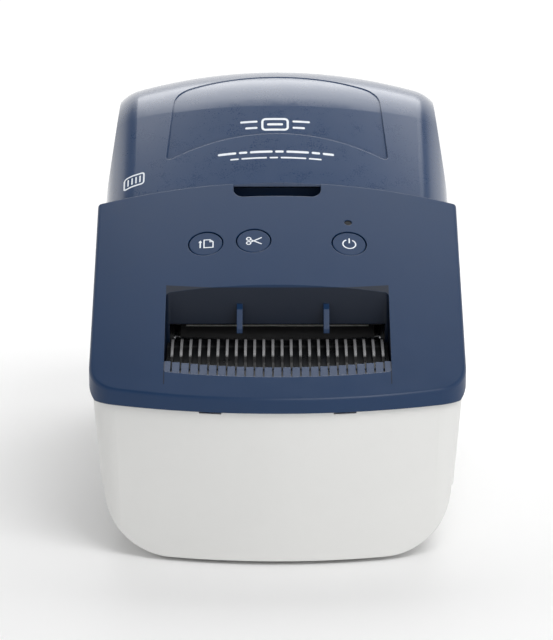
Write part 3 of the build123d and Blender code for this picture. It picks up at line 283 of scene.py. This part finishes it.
def paper_finish(name):
    """Coated label stock: white face, and on the roll's ends the wound layers of face and liner."""
    g = Graph(name)
    lo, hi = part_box("label_roll")
    axis = ((lo.x + hi.x) / 2, (lo.y + hi.y) / 2, (lo.z + hi.z) / 2)
    half = (hi.x - lo.x) / 2
    offset = g.vector("SUBTRACT", g.place, axis)
    split = g.add("ShaderNodeSeparateXYZ")
    g.link(offset, split.inputs[0])
    square = g.math("ADD", g.math("POWER", split.outputs[1], 2.0), g.math("POWER", split.outputs[2], 2.0))
    radius = g.math("SQRT", square)
    wobble = g.math("MULTIPLY", g.noise(40.0, 3.0), 0.00012)
    wound = g.math("SINE", g.math("MULTIPLY", g.math("ADD", radius, wobble), 2 * math.pi / (0.42 * MM)))
    normal = g.add("ShaderNodeNewGeometry").outputs["Normal"]
    facing = g.math("ABSOLUTE", g.vector("DOT_PRODUCT", normal, (1.0, 0.0, 0.0)))
    at_end = g.math("GREATER_THAN", g.math("ABSOLUTE", split.outputs[0]), half - 0.3 * MM)
    at_end = g.math("MULTIPLY", at_end, g.math("GREATER_THAN", facing, 0.5))
    fibre = g.noise(900.0, 5.0, 0.7)
    face = g.blend(g.remap(fibre, 0.3, 0.7, 0.0, 1.0), linear(236, 236, 232), linear(246, 246, 243))
    layers = g.blend(g.remap(wound, -0.6, 0.9, 0.0, 1.0), linear(206, 198, 176), linear(240, 238, 230))
    tone = g.blend(at_end, face, layers)
    ridges = g.math("MULTIPLY", g.math("MULTIPLY", wound, at_end), 0.8)
    height = g.math("ADD", g.math("MULTIPLY", fibre, 0.25), ridges)
    gloss = g.math("ADD", g.remap(fibre, 0.3, 0.7, 0.42, 0.5), g.math("MULTIPLY", at_end, 0.25))
    return g.finish(tone, gloss, g.bump(height, 0.05 * MM, g.bevel(0.15 * MM)), Sheen_Weight=0.05)


def card_finish(name):
    g = Graph(name)
    fibre = g.noise(240.0, 6.0, 0.75, g.stretched((0.35, 1.0, 1.0)))
    wrap = g.noise(60.0, 2.0, 0.5, g.stretched((4.0, 0.6, 0.6)))
    tone = g.blend(g.remap(fibre, 0.3, 0.7, 0.0, 1.0), linear(160, 128, 92), linear(196, 166, 128))
    tone = g.blend(g.remap(wrap, 0.45, 0.6, 0.0, 0.4), tone, linear(148, 116, 82))
    return g.finish(tone, g.remap(fibre, 0.3, 0.7, 0.78, 0.92), g.bump(fibre, 0.1 * MM, g.bevel(0.2 * MM)))


def clear_finish(name):
    g = Graph(name)
    haze = g.noise(600.0, 3.0, 0.6)
    tone = g.blend(g.remap(haze, 0.3, 0.7, 0.0, 1.0), linear(20, 22, 26), linear(34, 36, 42))
    return g.finish(
        tone, g.remap(haze, 0.3, 0.7, 0.12, 0.26), g.bump(haze, 0.01 * MM, g.bevel(0.15 * MM)),
        Transmission_Weight=0.2, IOR=1.49,
    )


def ceramic_finish(name):
    g = Graph(name)
    speck = g.noise(700.0, 4.0, 0.65)
    lo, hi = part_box("print_head")
    split = g.add("ShaderNodeSeparateXYZ")
    g.link(g.place, split.inputs[0])
    band = g.math("ABSOLUTE", g.math("SUBTRACT", split.outputs[1], (lo.y + hi.y) / 2))
    glaze = g.remap(band, 0.6 * MM, 0.9 * MM, 1.0, 0.0)
    tone = g.blend(g.remap(speck, 0.3, 0.7, 0.0, 1.0), linear(214, 210, 196), linear(232, 228, 216))
    tone = g.blend(glaze, tone, linear(70, 62, 52))
    return g.finish(tone, g.remap(speck, 0.3, 0.7, 0.18, 0.3), g.bump(speck, 0.01 * MM, g.bevel(0.1 * MM)))


def tape_finish(name):
    """Yellow winding tape with overlapped turns."""
    g = Graph(name)
    turns = g.noise(1.0, 2.0, 0.5, g.stretched((40.0, 40.0, 900.0)))
    soft = g.noise(300.0, 4.0, 0.6)
    tone = g.blend(g.remap(turns, 0.35, 0.65, 0.0, 1.0), linear(186, 152, 40), linear(222, 190, 76))
    return g.finish(tone, g.remap(soft, 0.3, 0.7, 0.3, 0.45), g.bump(turns, 0.08 * MM, g.bevel(0.2 * MM)))


def foil_finish(name):
    g = Graph(name)
    grain = g.noise(1.0, 3.0, 0.6, g.stretched((2400.0, 260.0, 2400.0)))
    cloud = g.noise(50.0, 3.0)
    tone = g.blend(g.remap(cloud, 0.3, 0.7, 0.0, 1.0), linear(196, 198, 200), linear(214, 216, 218))
    normal = g.bump(grain, 0.008 * MM, g.bevel(0.1 * MM))
    return g.finish(tone, g.remap(grain, 0.3, 0.7, 0.3, 0.42), normal, Metallic=0.55)


def sleeve_finish(name):
    g = Graph(name)
    crease = g.noise(180.0, 4.0, 0.7, g.stretched((1.0, 1.0, 3.0)))
    dark, pale = linear(30, 36, 60), linear(150, 156, 170)
    split = g.add("ShaderNodeSeparateXYZ")
    g.link(g.place, split.inputs[0])
    stripe = g.math("SINE", g.math("MULTIPLY", split.outputs[0], 2 * math.pi / (11.0 * MM)))
    tone = g.blend(g.remap(stripe, 0.93, 0.95, 0.0, 0.8), g.blend(crease, dark, scaled(dark, 1.4)), pale)
    return g.finish(tone, g.remap(crease, 0.3, 0.7, 0.22, 0.34), g.bump(crease, 0.03 * MM, g.bevel(0.3 * MM)))


def guide_finish(name):
    """Gloss black whose rib crests carry a painted highlight: grey streaks on their upper, upward-facing
    part.
    """
    g = Graph(name)
    streak = g.noise(1.0, 3.0, 0.6, g.stretched((900.0, 90.0, 900.0)))
    haze = g.noise(140.0, 4.0, 0.6)
    split = g.add("ShaderNodeSeparateXYZ")
    g.link(g.place, split.inputs[0])
    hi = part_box("label_guide")[1]
    crest_front, crest_rear = hi.y - 22.5 * MM, hi.y - 6.0 * MM
    fade_in = g.remap(split.outputs[1], crest_front, crest_front + 1.5 * MM, 0.0, 1.0, smooth=True)
    fade_out = g.remap(split.outputs[1], crest_rear - 1.5 * MM, crest_rear, 1.0, 0.0, smooth=True)
    high = g.remap(split.outputs[2], hi.z - 2.6 * MM, hi.z - 2.0 * MM, 0.0, 1.0)
    normal = g.add("ShaderNodeNewGeometry").outputs["Normal"]
    up = g.remap(g.vector("DOT_PRODUCT", normal, (0.0, 0.0, 1.0)), 0.5, 0.8, 0.0, 1.0)
    # painted highlight: the ribs' upper, upward-facing crests are painted grey in streaks
    crest_highlight = g.math("MULTIPLY", g.math("MULTIPLY", fade_in, fade_out), g.math("MULTIPLY", high, up))
    crest_highlight = g.math("MULTIPLY", crest_highlight, g.remap(streak, 0.3, 0.7, 0.75, 1.0))
    base = g.blend(haze, linear(7, 8, 10), linear(14, 15, 18))
    tone = g.blend(crest_highlight, base, linear(128, 128, 130))
    gloss = g.math("ADD", g.remap(haze, 0.3, 0.7, 0.26, 0.34), g.math("MULTIPLY", crest_highlight, 0.15))
    return g.finish(tone, gloss, g.bump(streak, 0.01 * MM, g.bevel(0.2 * MM)), Specular_IOR_Level=0.4)


NAVY = linear(12, 46, 82)
NAVY_LID = linear(25, 55, 92)
WHITE = linear(224, 224, 222)
FINISHES = {
    "white_shell": moulded("shell_white", WHITE, 0.46, 0.32, 0.010, 0.015, 0.4, 0.12),
    # inner=True paints shade on the walls of the panel's window
    "navy_panel": moulded(
        "panel_navy", NAVY, 0.39, 0.34, 0.014, 0.05, 0.3, 0.35, inner=True, Specular_IOR_Level=0.42,
    ),
    "navy_lid": moulded(
        "lid_navy", NAVY_LID, 0.3, 0.4, 0.004, 0.04, 0.35, 0.25, Coat_Weight=1.0, Coat_Roughness=0.2,
    ),
    "navy_button": moulded("button_navy", NAVY, 0.42, 0.3, 0.014, 0.05, 0.3, 0.5, Specular_IOR_Level=0.4),
    "inner_tub": moulded("tub_grey", linear(196, 199, 203), 0.5, 0.4, 0.012, 0.03),
    "black_plastic": moulded("black_plain", linear(26, 26, 28), 0.45, 0.35, 0.016, 0.08, 0.25, 0.3),
    "black_guide": guide_finish("guide_black"),
    "rubber": rubber_finish("foot_rubber", linear(34, 34, 35), 0.78),
    "platen_rubber": rubber_finish("roller_rubber", linear(30, 30, 32), 0.62, ground=True),
    "plate_foil": foil_finish("foil"),
    "steel": metal("steel_bright", linear(188, 190, 193), 0.28, (1.0, 1.0, 8.0)),
    "zinc_steel": metal("steel_zinc", linear(190, 193, 198), 0.36, (1.0, 6.0, 1.0), spangle=0.12),
    "blade_steel": metal("steel_blackened", linear(52, 53, 56), 0.3, (8.0, 1.0, 1.0), brushed=0.35),
    "motor_can": metal("steel_can", linear(168, 168, 170), 0.3, (1.0, 5.0, 1.0)),
    "aluminium": metal("aluminium_extruded", linear(202, 204, 207), 0.34, (0.2, 9.0, 9.0), brushed=0.3),
    "brass": metal("brass_machined", linear(206, 172, 104), 0.27, (1.0, 12.0, 1.0)),
    "ceramic": ceramic_finish("head_ceramic"),
    "white_nylon": moulded(
        "nylon_natural", linear(222, 219, 206), 0.42, 0.5, 0.006, 0.03, 0.2, 0.1,
        Subsurface_Weight=0.1, Subsurface_Scale=0.002,
    ),
    "circuit_board": board_finish("solder_mask"),
    "spool_plastic": moulded("spool_dark", linear(58, 60, 64), 0.48, 0.35, 0.014, 0.06),
    "core_card": card_finish("card_tube"),
    "label_paper": paper_finish("label_stock"),
    "light_pipe": clear_finish("pipe_clear"),
    "transformer_core": tape_finish("winding_tape"),
    "capacitor_sleeve": sleeve_finish("cap_sleeve"),
}
for node in NODES.values():
    for holder in node.material_slots:
        holder.material = FINISHES[holder.material.name.split(".")[0]]


# ---------------------------------------------------------------- printed marks
def spaced(points, step):
    """The same run with points no further apart than step."""
    out = [Vector(points[0])]
    for a, b in zip(points, points[1:]):
        a, b = Vector(a), Vector(b)
        n = max(1, math.ceil((b - a).length / step))
        out += [a.lerp(b, i / n) for i in range(1, n + 1)]
    return out


def arc(cx, cy, r, start, end, n=28):
    angles = [math.radians(start + (end - start) * i / n) for i in range(n + 1)]
    return [(cx + r * math.cos(a), cy + r * math.sin(a)) for a in angles]


def rounded(cx, cy, w, h, r):
    """A closed rounded rectangle."""
    run = []
    for sx, sy, a in ((1, 1, 0), (-1, 1, 90), (-1, -1, 180), (1, -1, 270)):
        run += arc(cx + sx * (w / 2 - r), cy + sy * (h / 2 - r), r, a, a + 90, 6)
    return run + run[:1]


def stroke(points, width, step=0.7):
    """A round-ended line of even width as loops of 2-D quads and end fans."""
    run = spaced([(*p, 0.0) for p in points], step)
    closed = (run[0] - run[-1]).length < 1e-6
    if closed:
        run = run[:-1]
    n, faces, sides = len(run), [], []
    for i, p in enumerate(run):
        before = run[i - 1] if i or closed else p
        after = run[(i + 1) % n] if i < n - 1 or closed else p
        d1, d2 = (p - before), (after - p)
        d1 = d1.normalized() if d1.length else d2.normalized()
        d2 = d2.normalized() if d2.length else d1
        t = (d1 + d2).normalized()
        side = Vector((-t.y, t.x, 0.0)) * (width / 2 / max(0.5, t.dot(d2)))
        sides.append((p + side, p - side))
    for i in range(n if closed else n - 1):
        a, b = sides[i], sides[(i + 1) % n]
        faces.append([a[0], a[1], b[1], b[0]])
    if not closed:
        for end, near in ((0, 1), (-1, -2)):
            away = (run[end] - run[near]).normalized()
            base = math.degrees(math.atan2(away.y, away.x))
            cap = arc(run[end].x, run[end].y, width / 2, base - 90, base + 90, 8)
            faces.append([Vector((*q, 0.0)) for q in cap])
    return faces


def filled(points):
    return [[Vector((*p, 0.0)) for p in points]]


def surface(node):
    mesh = NODES[node].data
    return BVHTree.FromPolygons([v.co for v in mesh.vertices], [tuple(p.vertices) for p in mesh.polygons])


FILM = 0.02 * MM        # thickness of the ink
PROBE_START = 12 * MM   # where the search for the surface starts above the mark
PROBE_REACH = 0.1       # and how far it goes


def printed(name, faces, origin, across, up, target, body, finish, lift=0.025):
    """A thin ink film that follows the surface under it. Faces are in millimetres about the origin."""
    normal = across.cross(up).normalized()
    bm = bmesh.new()
    for face in faces:
        corners = []
        for p in face:
            start = origin + across * p.x * MM + up * p.y * MM + normal * PROBE_START
            hit = target.ray_cast(start, -normal, PROBE_REACH)[0]
            if hit is None:
                raise RuntimeError(f"{name} leaves its surface")
            corners.append(bm.verts.new(hit + normal * lift * MM))
        made = bm.faces.new(corners)
        if made.normal.dot(normal) < 0:
            made.normal_flip()
    bmesh.ops.remove_doubles(bm, verts=bm.verts, dist=2e-6)
    bm.normal_update()
    for f in bm.faces:
        if f.normal.dot(normal) < 0:
            f.normal_flip()
    mesh = bpy.data.meshes.new(name)
    bm.to_mesh(mesh)
    bm.free()
    piece = bpy.data.objects.new(name, mesh)
    bpy.context.scene.collection.objects.link(piece)
    mesh.materials.append(finish)
    film = piece.modifiers.new("film", "SOLIDIFY")
    film.thickness = FILM
    film.offset = -1
    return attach(piece, body)


def ink_finish():
    g = Graph("ink_white")
    screen = g.noise(1800.0, 3.0, 0.6)
    thin = g.noise(420.0, 3.0, 0.6)
    tone = g.blend(g.remap(thin, 0.3, 0.7, 0.0, 1.0), linear(224, 230, 238), linear(240, 244, 248))
    return g.finish(tone, g.remap(screen, 0.3, 0.7, 0.38, 0.52), g.bump(screen, 0.01 * MM))


INK = ink_finish()


def cap_frame(button):
    """Centre, across and up directions of a button's face, from its press axis and its box."""
    joint = JOINTS[button + "_press"]
    normal = -Vector(joint["axis"]).normalized()
    across = Vector((1, 0, 0)) - normal * normal.x
    across.normalize()
    up = normal.cross(across)
    rim = [v.co for v in NODES[button].data.vertices]
    top = max(v.dot(normal) for v in rim)
    face = [v for v in rim if v.dot(normal) > top - 0.4 * MM]
    centre = sum(face, Vector()) / len(face)
    return centre, across, up


def feed_icon():
    faces = filled([(-2.55, 0.75), (-1.9, 1.85), (-1.25, 0.75)])
    faces += stroke([(-1.9, 0.9), (-1.9, -1.7)], 0.5)
    page = [(-0.6, -1.9), (-0.6, 2.0), (1.4, 2.0), (2.5, 0.9), (2.5, -1.9), (-0.6, -1.9)]
    faces += stroke(page, 0.42)
    faces += stroke([(1.4, 2.0), (1.4, 0.9), (2.5, 0.9)], 0.32)
    return faces


def cut_icon():
    faces = stroke(arc(-1.7, 1.05, 0.72, 0, 360), 0.42) + stroke(arc(-1.7, -1.05, 0.72, 0, 360), 0.42)
    faces += stroke([(-1.1, 0.66), (2.6, -1.55)], 0.46) + stroke([(-1.1, -0.66), (2.6, 1.55)], 0.46)
    return faces


def power_icon():
    return stroke(arc(0, -0.1, 2.2, 122, 418), 0.46) + stroke([(0, 0.55), (0, 2.6)], 0.46)


for button, icon in (("feed_button", feed_icon), ("cut_button", cut_icon), ("power_button", power_icon)):
    centre, across, up = cap_frame(button)
    piece = printed(button + "_icon", icon(), centre, across, up, surface(button), button, INK)

LID_TREE = surface("lid")
FLAT_ACROSS, FLAT_UP = Vector((1, 0, 0)), Vector((0, 1, 0))


def lid_mark(name, faces, x, y):
    origin = Vector((x * MM, y * MM, CAD_BOX[1].z))
    piece = printed(name, faces, origin, FLAT_ACROSS, FLAT_UP, LID_TREE, "lid", INK, 0.03)


def main_mark():
    """A plain tag outline between two bars."""
    faces = stroke(rounded(0, 0, 9.0, 4.4, 1.1), 0.8)
    faces += stroke([(-2.4, 0), (2.4, 0)], 0.9)
    for side in (-1, 1):
        faces += stroke([(side * 6.6, 1.3), (side * 12.0, 1.3)], 0.8)
        faces += stroke([(side * 6.6, -1.3), (side * 10.2, -1.3)], 0.8)
    return faces


def dash_row(lengths, gap, width):
    """A centred row of round-ended dashes."""
    total = sum(lengths) + gap * (len(lengths) - 1)
    x, faces = -total / 2, []
    for length in lengths:
        faces += stroke([(x + width / 2, 0), (x + length - width / 2, 0)], width)
        x += length + gap
    return faces


def corner_mark():
    faces = stroke(rounded(0, 0, 6.9, 4.4, 0.8), 0.55)
    for i in range(4):
        faces += stroke([(-2.1 + 1.4 * i, -1.1), (-2.1 + 1.4 * i, 1.1)], 0.5)
    return faces


lid_mark("lid_mark_main", main_mark(), -0.7, 11.8)
lid_mark("lid_mark_row_upper", dash_row([6.5, 3.0, 8.0, 3.0, 8.0, 3.0, 4.0], 0.9, 0.9), -0.4, -0.5)
lid_mark("lid_mark_row_lower", dash_row([3.0, 9.0, 3.0, 9.0, 4.5], 0.9, 0.6), -0.4, -3.0)
lid_mark("lid_mark_corner", corner_mark(), -50.3, -3.2)

# ---------------------------------------------------------------- stage, light and camera
lo, hi = CAD_BOX
REAR_EDGE = 0.376       # where the floor ends behind the object
FLOOR_HALF = 4.0
FLOOR_GAP = 0.0002


def floor_piece():
    g = Graph("stage_floor")
    cloud = g.noise(3.0, 2.0, 0.5)
    tone = g.blend(cloud, linear(242, 242, 242), linear(246, 246, 246))
    mat = g.finish(tone, g.remap(cloud, 0.3, 0.7, 0.42, 0.46), Specular_IOR_Level=0.1)
    mesh = bpy.data.meshes.new("floor")
    z, far = lo.z - FLOOR_GAP, FLOOR_HALF
    corners = [(-far, -far, z), (far, -far, z), (far, REAR_EDGE, z), (-far, REAR_EDGE, z)]
    mesh.from_pydata(corners, [], [(0, 1, 2, 3)])
    mesh.materials.append(mat)
    floor = bpy.data.objects.new("floor", mesh)
    bpy.context.scene.collection.objects.link(floor)


def studio():
    world = bpy.data.worlds.new("studio")
    bpy.context.scene.world = world
    world.use_nodes = True
    tree = world.node_tree
    back = tree.nodes["Background"]
    coord = tree.nodes.new("ShaderNodeTexCoord")
    split = tree.nodes.new("ShaderNodeSeparateXYZ")
    tree.links.new(coord.outputs["Generated"], split.inputs[0])

    def ramp(value, a, b, c, d):
        node = tree.nodes.new("ShaderNodeMapRange")
        node.interpolation_type = "SMOOTHSTEP"
        tree.links.new(value, node.inputs["Value"])
        for key, number in (("From Min", a), ("From Max", b), ("To Min", c), ("To Max", d)):
            node.inputs[key].default_value = number
        return node.outputs["Result"]

    def mix(factor, a, b):
        node = tree.nodes.new("ShaderNodeMix")
        node.data_type = "FLOAT"
        tree.links.new(factor, node.inputs["Factor"])
        for value, key in ((a, "A"), (b, "B")):
            if isinstance(value, float):
                node.inputs[key].default_value = value
            else:
                tree.links.new(value, node.inputs[key])
        return node.outputs[0]

    # even walls all round, a little dimmer to the left in front, under a dim ceiling
    front = ramp(split.outputs[0], -0.8, 0.8, 0.72, 0.98)
    rear = ramp(split.outputs[1], 0.16, 0.5, 0.0, 1.0)
    ceiling = ramp(split.outputs[2], 0.45, 0.8, 0.0, 1.0)
    tree.links.new(mix(ceiling, mix(rear, front, 1.06), 0.16), back.inputs["Strength"])
    back.inputs["Color"].default_value = (1.0, 1.0, 1.0, 1.0)


def soft_light(name, place, aim, size, depth, watts):
    data = bpy.data.lights.new(name, "AREA")
    data.shape = "RECTANGLE"
    data.size, data.size_y = size, depth
    data.energy = watts
    light = bpy.data.objects.new(name, data)
    bpy.context.scene.collection.objects.link(light)
    light.location = place
    light.rotation_mode = "QUATERNION"
    light.rotation_quaternion = (Vector(aim) - Vector(place)).to_track_quat("-Z", "Y")


PITCH = math.radians(14.0)
YAW = math.radians(0.1)
DISTANCE = 1.162
LENS = 183.4
SENSOR = 36.0
AIM = Vector((-0.0002, 0.0, lo.z + 0.0583))


def camera():
    level = math.cos(PITCH)
    forward = Vector((math.sin(YAW) * level, math.cos(YAW) * level, -math.sin(PITCH)))
    data = bpy.data.cameras.new("camera")
    data.lens = LENS
    data.sensor_width = SENSOR
    data.clip_start, data.clip_end = 0.05, 30.0
    cam = bpy.data.objects.new("camera", data)
    bpy.context.scene.collection.objects.link(cam)
    cam.location = AIM - forward * DISTANCE
    cam.rotation_mode = "QUATERNION"
    cam.rotation_quaternion = forward.to_track_quat("-Z", "Y")
    bpy.context.scene.camera = cam


floor_piece()
studio()
middle = (lo + hi) / 2
soft_light("overhead", (0.03, 0.4, 0.5), (0.03, 0.4, 0.0), 0.52, 0.54, 2.2)
soft_light("front_fill", (0.35, -0.6, 0.95), middle, 0.6, 0.6, 6.0)
camera()
bpy.context.scene.view_settings.view_transform = "Standard"
